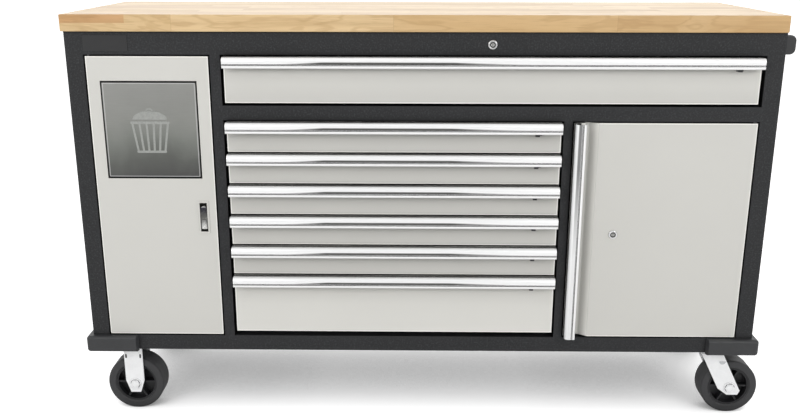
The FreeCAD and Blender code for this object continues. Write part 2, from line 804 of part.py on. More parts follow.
def make_drawer(label, left, right, top, height, right_wall, slide_rise, catch_at):
    """One drawer on its two slides; gives back the slides' fixed members."""
    low = "(%s-%s)" % (top, height)
    front = cut(
        box(left, right, "0", "front_fold", low, top),
        box("%s+skin" % left, "%s-skin" % right, "skin", "front_fold-skin", "%s+skin" % low, "%s-skin" % top),
        box("%s-stem_half-stem_play" % catch_at, "%s+stem_half+catch_travel+stem_play" % catch_at,
            "-1", "skin+stem_play",
            "%s-catch_low-stem_play" % top, "%s-catch_low+stem_height+stem_play" % top))
    tray_right = "(%s-slide_thickness)" % right_wall
    floor = "%s+tray_rise" % low
    rim = "%s-tray_drop" % top
    sides_low = "%s+tray_skin" % floor
    panels = [
        box(TRAY_LEFT, tray_right, "front_fold", "tray_rear", floor, sides_low),
        box(TRAY_LEFT, "%s+tray_skin" % TRAY_LEFT, "front_fold", "tray_rear", sides_low, rim),
        box("%s-tray_skin" % tray_right, tray_right, "front_fold", "tray_rear", sides_low, rim),
        box("%s+tray_skin" % TRAY_LEFT, "%s-tray_skin" % tray_right, "tray_rear-tray_skin", "tray_rear",
            sides_low, rim)]
    z = "%s+%s" % (low, slide_rise)
    node("%s_tray" % label, group([front] + panels + [
        drawer_slide(WALL_FACE, -1, z), drawer_slide(right_wall, 1, z)]))
    make_drawer_pull("%s_pull" % label, left, right, top)
    pad = box("%s-catch_half" % catch_at, "%s+catch_half" % catch_at, "-catch_front", "-catch_back",
              "%s-catch_low" % top, "%s-catch_high" % top)
    stem_low = "%s-catch_low" % top
    stem = box("%s-stem_half" % catch_at, "%s+stem_half" % catch_at, "-catch_back", "stem_reach",
               stem_low, "%s+stem_height" % stem_low)
    keeper = box("%s-2*catch_half" % catch_at, "%s+2*catch_half" % catch_at,
                 "stem_reach", "stem_reach+stem_plate",
                 "%s-keeper_margin" % stem_low, "%s+stem_height+2*keeper_margin" % stem_low)
    node("%s_catch" % label, join(pad, stem, keeper))
    return [fixed_slide(WALL_FACE, -1, z), fixed_slide(right_wall, 1, z)]


def make_drawers():
    slides = make_drawer("wide_drawer", "stack_left", "wide_right", "wide_top", "wide_front_height",
                         CUPBOARD_RIGHT, "slide_rise_wide", "wide_catch_at")
    for number in range(1, 7):
        deep = number == 6
        top = "(stack_top-%d*drawer_pitch)" % (number - 1)
        slides += make_drawer("drawer_%d" % number, "stack_left", "stack_right", top,
                              "deep_front_height" if deep else "front_height", STACK_WALL,
                              "slide_rise_deep" if deep else "slide_rise", "catch_at")
    wide_slide_low = "(wide_top-wide_front_height+slide_rise_wide)"
    rear = "slide_front+slide_length"
    spacer = cut(
        box(CUPBOARD_RIGHT, INNER_HALF, "slide_front", rear,
            wide_slide_low, "%s+slide_height" % wide_slide_low),
        box("%s+skin" % CUPBOARD_RIGHT, INNER_HALF, "slide_front", rear,
            "%s+skin" % wide_slide_low, "%s+slide_height-skin" % wide_slide_low))
    node("slide_rails", group(slides + [spacer]))


# Doors


def pivot_pin(x, z, sign):
    """A pin and its collar that stand on a rail and carry one corner of a door."""
    height = "(door_gap-collar_play)"
    collar_low = z if sign > 0 else "%s-%s" % (z, height)
    pin_low = z if sign > 0 else "%s-pin_length" % z
    collar = rod("z", x, "hinge_inset", collar_low, "hinge_collar_radius", height)
    pin = rod("z", x, "hinge_inset", pin_low, "hinge_pin_radius", "pin_length")
    return join(collar, pin)


BIN_DOOR_LEFT = "(%s+door_gap)" % BIN_BAY_LEFT
BIN_DOOR_RIGHT = "(bin_post_left-door_gap)"
CUPBOARD_DOOR_LEFT = "(door_post_right+door_gap)"
CUPBOARD_DOOR_RIGHT = "(%s-door_gap)" % CUPBOARD_RIGHT
DOOR_LOW = "(base_rail+door_gap)"
BIN_DOOR_HIGH = "(%s-door_gap)" % TOP_RAIL_LOW
CUPBOARD_DOOR_HIGH = "(mid_rail_low-door_gap)"
BIN_HINGE = "(%s+hinge_inset)" % BIN_DOOR_LEFT
CUPBOARD_HINGE = "(%s-hinge_inset)" % CUPBOARD_DOOR_RIGHT


def make_pivot_pins():
    node("door_pivot_pins", group([
        pivot_pin(BIN_HINGE, "base_rail", 1), pivot_pin(BIN_HINGE, TOP_RAIL_LOW, -1),
        pivot_pin(CUPBOARD_HINGE, "base_rail", 1), pivot_pin(CUPBOARD_HINGE, "mid_rail_low", -1)]))


def hinge_bore(x, z_low, z_high):
    return rod("z", x, "hinge_inset", "%s-1" % z_low, "hinge_pin_radius+fit", "%s-%s+2" % (z_high, z_low))


def make_bin_door():
    """A hollow door of two skins, with the framed window for the waste flap."""
    window = ("flap_left-flap_gap", "flap_right+flap_gap", "flap_low-flap_gap", "flap_high+flap_gap")
    hollow = cut(
        box("%s+skin" % BIN_DOOR_LEFT, "%s-skin" % BIN_DOOR_RIGHT, "skin", "door_thickness-skin",
            "%s+skin" % DOOR_LOW, "%s-skin" % BIN_DOOR_HIGH),
        box("%s-skin" % window[0], "%s+skin" % window[1], "0", "door_thickness",
            "%s-skin" % window[2], "%s+skin" % window[3]))
    door = cut(
        box(BIN_DOOR_LEFT, BIN_DOOR_RIGHT, "0", "door_thickness", DOOR_LOW, BIN_DOOR_HIGH), hollow,
        box(window[0], window[1], "-1", "door_thickness+1", window[2], window[3]),
        hinge_bore(BIN_HINGE, DOOR_LOW, BIN_DOOR_HIGH),
        rod("x", "flap_left-flap_gap-skin-1", "flap_pivot_depth", "flap_pivot", "flap_pin_radius+fit",
            "flap_right-flap_left+2*flap_gap+2*skin+2"),
        box("latch_left+latch_rim-fit", "latch_right-latch_rim+fit", "-1", "skin+1",
            "latch_low+latch_rim-fit", "latch_high-latch_rim+fit"))
    node("bin_door", door)


def make_waste_flap():
    """A shallow steel pan that swings on two pins near its upper edge."""
    face = pan("flap_left", "flap_right", "0", "flap_fold", "flap_low", "flap_high", "tray_skin")
    reach = "(flap_gap+skin+tray_skin)"
    left_pin = rod("x", "flap_left-flap_gap-skin", "flap_pivot_depth", "flap_pivot", "flap_pin_radius", reach)
    right_pin = rod("x", "flap_right-tray_skin", "flap_pivot_depth", "flap_pivot", "flap_pin_radius", reach)
    node("waste_flap", join(face, left_pin, right_pin))


def make_bin_latch():
    """A plated dish let into the bin door, and the lever that pivots in it."""
    left = "(latch_left+latch_rim)"
    right = "(latch_right-latch_rim)"
    low = "(latch_low+latch_rim)"
    high = "(latch_high-latch_rim)"
    wall = "tray_skin"
    pivot_z = "(latch_high-latch_rim-lever_pivot_drop)"
    dish = cut(
        join(box(left, right, "0", "latch_depth", low, high),
             box("latch_left", "latch_right", "-latch_proud", "0", "latch_low", "latch_high")),
        box("%s+%s" % (left, wall), "%s-%s" % (right, wall), "-latch_proud-1", "latch_depth-%s" % wall,
            "%s+%s" % (low, wall), "%s-%s" % (high, wall)),
        rod("x", "%s-1" % left, "lever_pivot_depth", pivot_z,
            "lever_pin_radius+fit", "%s-%s+2" % (right, left)))
    node("bin_latch_dish", dish)
    arm_left = "%s+%s+lever_gap" % (left, wall)
    arm_right = "%s-%s-lever_gap" % (right, wall)
    foot = "(%s+%s+lever_finger_gap)" % (low, wall)
    face = "(lever_pivot_depth-lever_thickness)"
    arm = box(arm_left, arm_right, face, "lever_pivot_depth", foot, pivot_z)
    lip = box("%s+lever_lip_inset" % arm_left, "%s-lever_lip_inset" % arm_right, "-lever_lip_proud", face,
              foot, "%s+lever_lip_height" % foot)
    barrel = rod("y", "(latch_left+latch_right)/2", "%s-lever_barrel_proud" % face, pivot_z,
                 "lever_barrel_radius", "lever_thickness+2*lever_barrel_proud")
    knuckle = rod("x", arm_left, "lever_pivot_depth", pivot_z, "lever_knuckle_radius",
                  "%s-(%s)" % (arm_right, arm_left))
    pin = rod("x", left, "lever_pivot_depth", pivot_z, "lever_pin_radius", "%s-%s" % (right, left))
    node("bin_latch_lever", join(arm, lip, barrel, knuckle, pin))


def door_plan(offset):
    """The cupboard door seen from above, with the finger recess; offset moves each wall inwards."""
    left = "(%s)" % offset
    right = "(%s-%s-(%s))" % (CUPBOARD_DOOR_RIGHT, CUPBOARD_DOOR_LEFT, offset)
    return [
        (left, offset), ("recess_near-(%s)" % offset, offset),
        ("recess_near-(%s)" % offset, "recess_depth+(%s)" % offset),
        ("recess_far+recess_slant*(%s)" % offset, "recess_depth+(%s)" % offset),
        ("recess_out+recess_slant*(%s)" % offset, offset), (right, offset),
        (right, "door_thickness-(%s)" % offset), (left, "door_thickness-(%s)" % offset)]


def make_cupboard_door():
    height = "(%s-%s)" % (CUPBOARD_DOOR_HIGH, DOOR_LOW)
    outer = padded("XY_Plane", door_plan("0"), height, CUPBOARD_DOOR_LEFT, "0", DOOR_LOW)
    hollow = padded("XY_Plane", door_plan("skin"), "%s-2*skin" % height, CUPBOARD_DOOR_LEFT, "0",
                    "%s+skin" % DOOR_LOW)
    node("cupboard_door", cut(
        outer, hollow, hinge_bore(CUPBOARD_HINGE, DOOR_LOW, CUPBOARD_DOOR_HIGH),
        rod("y", "door_lock_at", "-1", "door_lock_level", "lock_shank_radius+fit", "door_thickness+2")))
    make_door_pull("cupboard_door_pull", CUPBOARD_DOOR_LEFT, DOOR_LOW, CUPBOARD_DOOR_HIGH)


# Locks


def make_lock(label, x, z, cam_length):
    """A lock barrel in its hole, and the key plug with its cam behind."""
    bore = "plug_radius+fit"
    node("%s_barrel" % label, turned([
        (bore, "-lock_flange"), ("lock_flange_radius-1", "-lock_flange"),
        ("lock_flange_radius", "1-lock_flange"), ("lock_flange_radius", "0"),
        ("lock_shank_radius", "0"), ("lock_shank_radius", "lock_shank"), (bore, "lock_shank")], x, "0", z))
    plug = rod("y", x, "plug_recess-lock_flange", z, "plug_radius", "plug_reach+lock_flange-plug_recess")
    key_slot = box("%s-key_slot_half" % x, "%s+key_slot_half" % x, "-lock_flange-1", "1",
                   "%s-key_slot_reach" % z, "%s+key_slot_reach" % z)
    cam = box("%s-cam_half" % x, "%s+cam_half" % x, "plug_reach", "plug_reach+cam_thickness",
              "%s-cam_half" % z, "%s+%s" % (z, cam_length))
    node("%s_plug" % label, join(cut(plug, key_slot), cam))


make_panels()
make_base_pan()
make_front_frame()
make_worktop()
make_bumpers()
make_push_handle()
make_shelf()
make_waste_bin()
make_rigid_casters()
make_swivel_casters()
for wheel_end, wheel_y in CASTER_ENDS:
    make_wheel("left_%s" % wheel_end, "rigid_at", wheel_y)
    make_wheel("right_%s" % wheel_end, "(swivel_at+trail)", wheel_y)
make_caster_bolts()
make_drawers()
make_pivot_pins()
make_bin_door()
make_waste_flap()
make_bin_latch()
make_cupboard_door()
make_lock("cupboard_lock", "door_lock_at", "door_lock_level", "door_cam_length")
make_lock("drawer_lock", "drawer_lock_at", "drawer_lock_level", "drawer_cam_length")
doc.recompute()

for item in doc.Objects:
    if "Invalid" in item.State or "Error" in item.State:
        raise RuntimeError("%s did not build: %s" % (item.Label, item.State))
for item in nodes:
    if item.Shape.isNull() or not item.Shape.isValid() or not item.Shape.Solids:
        raise RuntimeError("%s is not a sound solid" % item.Label)

for item in nodes:
    item.Shape.exportStep("parts/%s.step" % item.Label)
print("%d pieces written" % len(nodes))
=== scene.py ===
import json
import math

import bmesh
import bpy
from mathutils import Matrix, Vector


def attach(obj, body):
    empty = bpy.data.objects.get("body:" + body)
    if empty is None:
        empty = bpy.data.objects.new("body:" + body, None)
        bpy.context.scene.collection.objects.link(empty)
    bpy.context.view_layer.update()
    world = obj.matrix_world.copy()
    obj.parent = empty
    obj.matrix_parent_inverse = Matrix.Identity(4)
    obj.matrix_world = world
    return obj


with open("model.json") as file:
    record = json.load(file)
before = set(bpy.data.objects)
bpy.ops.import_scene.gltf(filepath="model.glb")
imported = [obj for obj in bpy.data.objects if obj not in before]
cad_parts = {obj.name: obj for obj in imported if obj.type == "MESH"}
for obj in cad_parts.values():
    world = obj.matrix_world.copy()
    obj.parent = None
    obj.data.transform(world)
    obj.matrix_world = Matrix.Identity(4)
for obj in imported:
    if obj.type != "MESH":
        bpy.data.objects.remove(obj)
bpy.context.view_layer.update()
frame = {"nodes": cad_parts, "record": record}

MM = 0.001
ORIGIN = (13.0, 221.0, -166.0)  # the frame's origin in the cabinet's own millimetres


def at(x=0.0, y=0.0, z=0.0):
    """A point given in the cabinet's own millimetres, as the CAD source has them, in the frame."""
    return Vector([(value - zero) * MM for value, zero in zip((x, y, z), ORIGIN)])


def outline(obj):
    """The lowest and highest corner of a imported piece's front face."""
    foremost = min(vertex.co.y for vertex in obj.data.vertices)
    points = [vertex.co for vertex in obj.data.vertices if vertex.co.y < foremost + 0.5 * MM]
    return (Vector([min(point[axis] for point in points) for axis in range(3)]),
            Vector([max(point[axis] for point in points) for axis in range(3)]))


def grey(value):
    return (value, value, value)


def shade(colour, factor):
    return tuple(channel * factor for channel in colour)


def opaque(colour):
    """A plain colour with its alpha; a node's output stays as it is."""
    return (*colour, 1.0) if isinstance(colour, tuple) else colour


# Nodes


def feed(tree, socket, value):
    """Link a node's output to a socket, or write a plain value in it."""
    if isinstance(value, bpy.types.NodeSocket):
        tree.links.new(value, socket)
    elif value is not None:
        socket.default_value = value


def add_node(tree, kind, **inputs):
    """A shader node with its inputs fed by name, from_min for From Min."""
    node = tree.nodes.new("ShaderNode" + kind)
    for name, value in inputs.items():
        feed(tree, node.inputs[name.replace("_", " ").title()], value)
    return node


def add_math(tree, operation, first, second=0.0):
    node = add_node(tree, "Math")
    node.operation = operation
    for socket, value in zip(node.inputs, (first, second)):
        feed(tree, socket, value)
    return node.outputs[0]


def add_smooth_range(tree, value, from_min, from_max, to_min, to_max):
    node = add_node(tree, "MapRange", value=value, from_min=from_min, from_max=from_max,
                    to_min=to_min, to_max=to_max)
    node.interpolation_type = "SMOOTHSTEP"
    return node.outputs["Result"]


def mix_shaders(tree, factor, first, second, output):
    """Lead a mix of two shaders to an output node of the given kind."""
    mix = add_node(tree, "MixShader", fac=factor)
    tree.links.new(first, mix.inputs[1])
    tree.links.new(second, mix.inputs[2])
    tree.links.new(mix.outputs[0], add_node(tree, output).inputs[0])


class Shader:
    """A node material with short calls for the nodes that the finishes below use."""

    def __init__(self, name):
        self.material = bpy.data.materials.new(name)
        self.material.use_nodes = True
        self.tree = self.material.node_tree
        self.surface = self.tree.nodes["Principled BSDF"]
        self.place = self.node("TexCoord").outputs["Object"]

    def node(self, kind, **inputs):
        return add_node(self.tree, kind, **inputs)

    def stretch(self, scale, source=None):
        return self.node("Mapping", vector=source or self.place, scale=scale).outputs["Vector"]

    def noise(self, scale, detail, rough=0.5, source=None, distortion=0.0):
        return self.node("TexNoise", vector=source or self.place, scale=scale, detail=detail,
                         roughness=rough, distortion=distortion).outputs["Fac"]

    def cells(self, scale):
        """Soft round cells, as in a pebbled or wrinkled surface."""
        node = self.node("TexVoronoi")
        node.feature = "SMOOTH_F1"
        feed(self.tree, node.inputs["Vector"], self.place)
        node.inputs["Scale"].default_value = scale
        return node.outputs["Distance"]

    def white(self, source):
        """One random number for each value of the source."""
        node = self.node("TexWhiteNoise")
        node.noise_dimensions = "3D"
        feed(self.tree, node.inputs["Vector"], source)
        return node.outputs["Value"]

    def math(self, operation, first, second=0.0):
        return add_math(self.tree, operation, first, second)

    def product(self, first, *others):
        for other in others:
            first = self.math("MULTIPLY", first, other)
        return first

    def vector(self, operation, first, second, output="Vector"):
        node = self.node("VectorMath")
        node.operation = operation
        feed(self.tree, node.inputs[0], first)
        feed(self.tree, node.inputs[1], second)
        return node.outputs[output]

    def split(self):
        """The place on the piece, as x, y and z."""
        node = self.node("SeparateXYZ", vector=self.place)
        return node.outputs["X"], node.outputs["Y"], node.outputs["Z"]

    def combine(self, x, y, z):
        return self.node("CombineXYZ", x=x, y=y, z=z).outputs[0]

    def inset(self, place, low, high):
        """How far a coordinate lies inside the nearer of two edges."""
        return self.math("MINIMUM", self.math("SUBTRACT", place, low),
                         self.math("SUBTRACT", high, place))

    def spread(self, factor, low, high, from_low=0.3, from_high=0.7):
        """Map a factor to a range of plain numbers, clamped; most of a noise is in 0.3 to 0.7."""
        return self.node("MapRange", value=factor, from_min=from_low, from_max=from_high,
                         to_min=low, to_max=high).outputs["Result"]

    def ramp(self, factor, stops):
        """A colour ramp through (position, colour) stops."""
        node = self.node("ValToRGB", fac=factor)
        elements = node.color_ramp.elements
        while len(elements) < len(stops):
            elements.new(0.5)
        for element, (position, colour) in zip(elements, stops):
            element.position = position
            element.color = opaque(colour)
        return node.outputs["Color"]

    def mix(self, factor, first, second, blend="MIX"):
        node = self.node("Mix")
        node.data_type = "RGBA"
        node.blend_type = blend
        feed(self.tree, node.inputs["Factor"], factor)
        feed(self.tree, node.inputs[6], opaque(first))
        feed(self.tree, node.inputs[7], opaque(second))
        return node.outputs[2]

    def multiply(self, tone, by):
        return self.mix(1.0, tone, by, "MULTIPLY")

    def vary(self, factor, colour, low, high):
        """The colour between two strengths, as a noise goes."""
        return self.mix(self.spread(factor, 0.0, 1.0), shade(colour, low), shade(colour, high))

    def with_painted_shade(self, tone, colour, reach, low, high):
        """The tone, with the colour as painted shade in joints and grooves narrower than about the
        reach.
        """
        node = self.node("AmbientOcclusion", distance=reach)
        node.samples = 8
        return self.mix(self.spread(node.outputs["AO"], 0.0, 1.0, low, high), colour, tone)

    def bump(self, height, distance, strength, under=None):
        return self.node("Bump", height=height, distance=distance, strength=strength,
                         normal=under).outputs["Normal"]

    def rounded(self, radius):
        """The normal as it would be with the edges rounded to the radius."""
        node = self.node("Bevel", radius=radius)
        node.samples = 6
        return node.outputs["Normal"]

    def edge(self, rounded):
        """A factor that rises to 1 on the rounding of an edge."""
        flat = self.node("NewGeometry").outputs["True Normal"]
        return self.spread(self.vector("DOT_PRODUCT", rounded, flat, "Value"), 1.0, 0.0, 0.8, 0.985)

    def finish(self, colour, rough, normal=None, metallic=None, specular=None):
        """Wire up the surface; a plain value goes straight on the shader."""
        for socket, value in (("Base Color", colour), ("Roughness", rough), ("Normal", normal),
                              ("Metallic", metallic), ("Specular IOR Level", specular)):
            feed(self.tree, self.surface.inputs[socket], value)
        return self.material


# Materials

DARK = (0.0195, 0.0200, 0.0212)
PALE = (0.640, 0.632, 0.595)
ALUMINIUM = grey(0.97)
REFLECTED_ROOM_DARK = (0.05, 0.05, 0.045)  # the dark of the room, painted as its reflection in a level pull

FRONT_FACE = at(y=0.6).y  # a door or drawer front lies in front of this
EDGE_LIGHT = 1.2 * MM  # the painted highlight along a front's folded edges
FLAP_FOOT, FLAP_HEAD = at(z=406.0).z, at(z=614.0).z
LEVER_FOOT, LEVER_HEAD = at(z=288.0).z, at(z=342.0).z

# The painted shade below each pull, as (millimetres below the front's top, level) stops; a level
# over 1 is painted light
PAINTED_SHADE_WIDE = [(0.0, 0.7), (24.0, 0.84), (33.0, 0.98), (60.0, 1.0), (98.0, 0.9)]
PAINTED_SHADE_PULL = [(0.0, 0.6), (24.0, 0.66), (31.0, 0.78), (44.0, 0.87), (60.0, 0.98), (66.0, 1.02)]
PAINTED_SHADE_DEEP = [(0.0, 0.7), (24.0, 0.8), (36.0, 1.0), (70.0, 1.1), (135.5, 1.12)]

# The level pulls, in millimetres
DRAWER_PITCH = 69.5
TOP_DRAWER_PULL = 530.0
PULL_TOPS = {"wide_drawer": 668.0}
PULL_TOPS.update(("drawer_%d" % (number + 1), TOP_DRAWER_PULL - DRAWER_PITCH * number)
                 for number in range(6))
GROOVE_DEPTH = 14.2  # from a pull's top down to its groove
REFLECTION_HEIGHT = 5.6  # the tallest that the painted dark reflection above the groove gets
REFLECTION_RISE, REFLECTION_FALL = (-330.0, -210.0), (60.0, 270.0)  # where the painted reflection sets in and dies away

# The upright pull on the cupboard door with its painted dark reflection, and the recess beside it
# with its painted shade, in millimetres
UPRIGHT_REFLECTION = (328.6, 335.4)
UPRIGHT_REFLECTION_FADE = (230.0, 430.0)
UPRIGHT_RECESS = (355.0, 377.0)

# The staves of the worktop, in metres
STAVE_WIDTH = 0.043
STAVE_LENGTH = 0.46
STAVE_SEAM = 0.0006  # the joint between two rows
STAVE_BUTT = 0.0016  # the joint within a row, as a share of a stave's length
END_STAVE_FOOT, END_STAVE_RIGHT = 0.9025, -0.632  # limits of the reddish stave at the corner


def wrinkle_paint(name, colour):
    """Dark powder coat with a fine wrinkle that breaks up the highlights."""
    paint = Shader(name)
    wide = paint.noise(7.0, detail=4.0)
    grain = paint.cells(520.0)
    speck = paint.noise(1500.0, detail=2.0)
    lump = paint.noise(280.0, detail=2.5, rough=0.6)
    tone = paint.vary(wide, colour, 0.92, 1.1)
    tone = paint.mix(paint.spread(lump, 0.0, 0.9, 0.5, 0.68), tone, shade(colour, 2.35))
    tone = paint.mix(paint.spread(grain, 0.0, 0.35, 0.15, 0.6), tone, shade(colour, 1.55))
    rounded = paint.rounded(0.0018)
    # Painted highlight on the rounded edges, then painted shade in creases and joints
    tone = paint.mix(paint.edge(rounded), tone, shade(colour, 2.1))
    tone = paint.with_painted_shade(tone, shade(colour, 0.08), 0.02, 0.3, 0.85)
    rough = paint.spread(speck, 0.45, 0.65)
    normal = paint.bump(grain, 0.00022, 0.55, under=rounded)
    normal = paint.bump(speck, 0.00008, 0.5, under=normal)
    return paint.finish(tone, rough, normal, specular=0.3)


def satin_paint(name, colour, panel, stops=None, reach=0.02, recess=None):
    """Pale stove enamel, nearly smooth, with a faint orange peel, on one front panel.

    A painted highlight along the panel's folded edges and the stops of the painted shade
    below its pull follow the panel's outline. The recess beside an upright pull has a far
    side between two x values, whose painted shade lightens from the pull outwards. Joints
    and gaps get painted shade.
    """
    paint = Shader(name)
    x, y, z = paint.split()
    wide = paint.noise(3.0, detail=3.0)
    smear = paint.noise(5.0, detail=5.0, source=paint.stretch((1.0, 1.0, 4.0)), distortion=0.6)
    peel = paint.noise(650.0, detail=1.0)
    tone = paint.vary(wide, colour, 0.985, 1.015)
    low, high = outline(panel)
    front = paint.math("LESS_THAN", y, FRONT_FACE)
    # Painted shade below the pull, lightening towards the front's foot
    if stops:
        span = stops[-1][0]
        level = [(depth / span, grey(value)) for depth, value in stops]
        depth = paint.math("DIVIDE", paint.math("SUBTRACT", high.z, z), span * MM)
        tone = paint.mix(front, tone, paint.multiply(tone, paint.ramp(depth, level)))
    rim = paint.math("MINIMUM", paint.inset(x, low.x, high.x), paint.inset(z, low.z, high.z))
    # Painted highlight along the folded edges
    edge_highlight = paint.product(front, paint.spread(rim, 1.0, 0.0, EDGE_LIGHT, 2.0 * EDGE_LIGHT))
    # Painted shade on the recess's far side, lightening from the pull outwards
    if recess:
        start, end = (at(x=edge).x for edge in recess)
        lift = paint.product(paint.spread(x, 0.8, 1.35, start, end),
                             paint.math("LESS_THAN", x, end), paint.math("GREATER_THAN", x, start))
        inside = paint.product(paint.math("SUBTRACT", 1.0, front),
                               paint.math("GREATER_THAN", lift, 0.1))
        tone = paint.mix(inside, tone, paint.multiply(tone, paint.combine(lift, lift, lift)))
    # Painted shade in joints and gaps
    tone = paint.with_painted_shade(tone, shade(colour, 0.02), reach, 0.3, 0.62)
    tone = paint.mix(edge_highlight, tone, shade(colour, 1.5))
    rough = paint.spread(smear, 0.36, 0.45)
    return paint.finish(tone, rough, paint.bump(peel, 0.00003, 0.25))


def painted_level_reflection(metal, tone, top):
    """A painted dark reflection just above the groove of a drawer's pull, tallest at its middle."""
    x, _, z = metal.split()
    rise = metal.spread(x, 0.0, 1.0, *(at(x=end).x for end in REFLECTION_RISE))
    fall = metal.spread(x, 1.0, 0.0, *(at(x=end).x for end in REFLECTION_FALL))
    reflection_size = metal.product(rise, fall)
    below = metal.math("SUBTRACT", at(z=top).z, z)
    start = metal.math("SUBTRACT", GROOVE_DEPTH * MM, metal.product(reflection_size, REFLECTION_HEIGHT * MM))
    inside = metal.spread(metal.math("SUBTRACT", below, start), 0.0, 1.0, 0.0, 0.0018)
    above = metal.spread(below, 1.0, 0.0, GROOVE_DEPTH * MM, (GROOVE_DEPTH + 0.6) * MM)
    dark = metal.product(inside, above, metal.math("MINIMUM", reflection_size, 0.95))
    return metal.mix(dark, tone, REFLECTED_ROOM_DARK)


def painted_upright_reflection(metal, tone):
    """A painted dark reflection down the upright pull, which fades towards its foot."""
    x, _, z = metal.split()
    start, end = (at(x=edge).x for edge in UPRIGHT_REFLECTION)
    inside = metal.product(metal.spread(x, 0.0, 1.0, start - 0.0012, start + 0.0008),
                           metal.spread(x, 1.0, 0.0, end - 0.0014, end + 0.0014))
    fade = metal.spread(z, 0.1, 0.85, *(at(z=end).z for end in UPRIGHT_REFLECTION_FADE))
    return metal.mix(metal.product(inside, fade), tone, grey(0.10))


def polished_aluminium(name, colour, along, top=None):
    """Bright anodised extrusion with faint die lines along its length, a painted dark reflection on
    its face and painted shade in its groove and where it meets the front.

    The top is the level of a drawer's pull; the pull on the cupboard door has none.
    """
    metal = Shader(name)
    squeeze = [1.0, 1.0, 1.0]
    squeeze[along] = 0.004
    lines = metal.noise(500.0, detail=2.0, source=metal.stretch(squeeze))
    tone = metal.vary(lines, colour, 0.992, 1.0)
    # Painted dark reflection on the face, then painted shade in the groove and where the pull meets
    # the front
    tone = painted_upright_reflection(metal, tone) if top is None else painted_level_reflection(metal, tone, top)
    tone = metal.with_painted_shade(tone, shade(colour, 0.01), 0.026, 0.7, 0.9)
    return metal.finish(tone, metal.spread(lines, 0.22, 0.26), metallic=0.2)


def brushed_steel(name, colour, panel):
    """Stainless sheet brushed level, cloudy, with a painted reflection darker towards its foot,
    painted black shade round its rim and a pale painted highlight just inside it.
    """
    metal = Shader(name)
    x, _, z = metal.split()
    brush = metal.noise(3200.0, detail=3.0, rough=0.7, source=metal.stretch((0.008, 1.0, 1.0)))
    cloud = metal.noise(6.0, detail=4.0, distortion=0.8)
    # Painted reflection, darker towards the flap's foot
    height = metal.math("ADD", metal.spread(z, 0.0, 1.0, FLAP_FOOT, FLAP_HEAD),
                        metal.spread(cloud, -0.09, 0.09))
    fall = metal.ramp(height, [
        (0.0, grey(0.25)), (0.2, (0.35, 0.36, 0.345)), (0.45, (0.60, 0.625, 0.59)),
        (0.62, (0.74, 0.75, 0.72)), (1.0, (0.86, 0.86, 0.84))])
    tone = metal.multiply(metal.vary(brush, colour, 0.93, 1.05), fall)
    low, high = outline(panel)
    # Painted black shade round the rim, with a pale painted highlight just inside it
    rise = metal.inset(z, FLAP_FOOT, FLAP_HEAD)
    side = metal.inset(x, low.x, high.x)
    rim = metal.math("MAXIMUM", metal.spread(rise, 1.0, 0.0, 0.0012, 0.0026),
                     metal.spread(side, 1.0, 0.0, 0.0006, 0.0014))
    near = metal.math("MINIMUM", rise, side)
    line = metal.product(metal.spread(near, 0.0, 0.55, 0.0022, 0.0028),
                         metal.spread(near, 1.0, 0.0, 0.0034, 0.0042))
    tone = metal.mix(line, tone, grey(0.95))
    tone = metal.mix(rim, tone, shade(colour, 0.02))
    tone = metal.with_painted_shade(tone, shade(colour, 0.02), 0.005, 0.3, 0.7)
    rough = metal.math("ADD", metal.spread(brush, 0.26, 0.38), metal.spread(cloud, 0.0, 0.08))
    return metal.finish(tone, rough, metal.bump(brush, 0.00002, 0.3), metallic=1.0)


def latch_plate(name, bezel, inside):
    """The latch's dish: its bezel painted like the door, its inside dark, with painted shade in its
    narrow hollows.
    """
    metal = Shader(name)
    cloud = metal.noise(90.0, detail=4.0)
    front = metal.math("LESS_THAN", metal.split()[1], at(y=0.3).y)
    tone = metal.mix(front, metal.vary(cloud, inside, 0.8, 1.3), bezel)
    tone = metal.with_painted_shade(tone, shade(inside, 0.3), 0.006, 0.2, 0.6)
    return metal.finish(tone, metal.spread(cloud, 0.3, 0.42), metal.rounded(0.0009))


def latch_steel(name, colour):
    """The latch's lever: dull and dark along its arm, with painted highlights at its barrel and its
    lip, and painted shade in its creases.
    """
    metal = Shader(name)
    cloud = metal.noise(140.0, detail=4.0, distortion=0.5)
    height = metal.spread(metal.split()[2], 0.0, 1.0, LEVER_FOOT, LEVER_HEAD)
    # Painted highlights at the barrel and the lip, dark along the arm
    fall = metal.ramp(height, [
        (0.0, grey(1.0)), (0.16, grey(0.95)), (0.3, grey(0.5)), (0.5, (0.2, 0.2, 0.19)),
        (0.78, (0.07, 0.07, 0.08)), (0.92, (0.02, 0.02, 0.04)), (1.0, grey(1.0))])
    tone = metal.multiply(metal.vary(cloud, colour, 0.75, 1.0), fall)
    tone = metal.with_painted_shade(tone, shade(colour, 0.04), 0.004, 0.3, 0.75)
    return metal.finish(tone, metal.spread(cloud, 0.2, 0.32), metal.rounded(0.0007), metallic=0.5)


